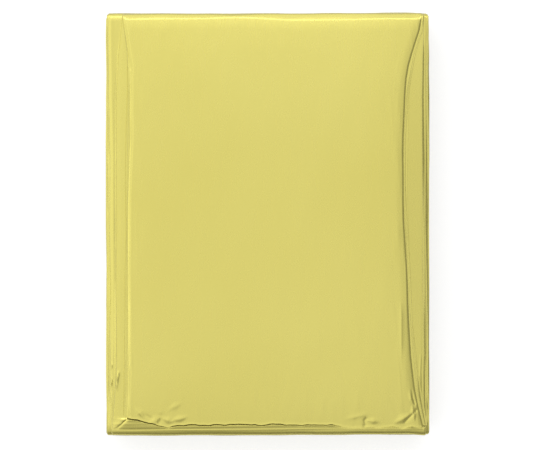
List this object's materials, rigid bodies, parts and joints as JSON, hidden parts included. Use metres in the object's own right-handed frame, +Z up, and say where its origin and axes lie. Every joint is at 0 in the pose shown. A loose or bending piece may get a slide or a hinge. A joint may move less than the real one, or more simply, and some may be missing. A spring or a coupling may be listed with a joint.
{
  "type": "folded emergency foil blanket",
  "caption": "Thin gold-faced foil sheet, pleated and laid back and forth into a flat block; it opens out to wrap around the body and keep warmth in against cold and wind.",
  "frame": {"origin": "under the middle of the folded block, on the surface that it rests on", "axes": "+X across the pleated band, +Y along the band to the block's back end, +Z up through the layers to the top face"},
  "size_m": [0.0888, 0.1142, 0.0173],
  "materials": {
    "gold_foil": "gold metallised film with a soft satin sheen and fine crinkles, silver on its reverse"
  },
  "bodies": {
    "root": {"foil_sheet": "gold_foil"}
  },
  "joints": []
}
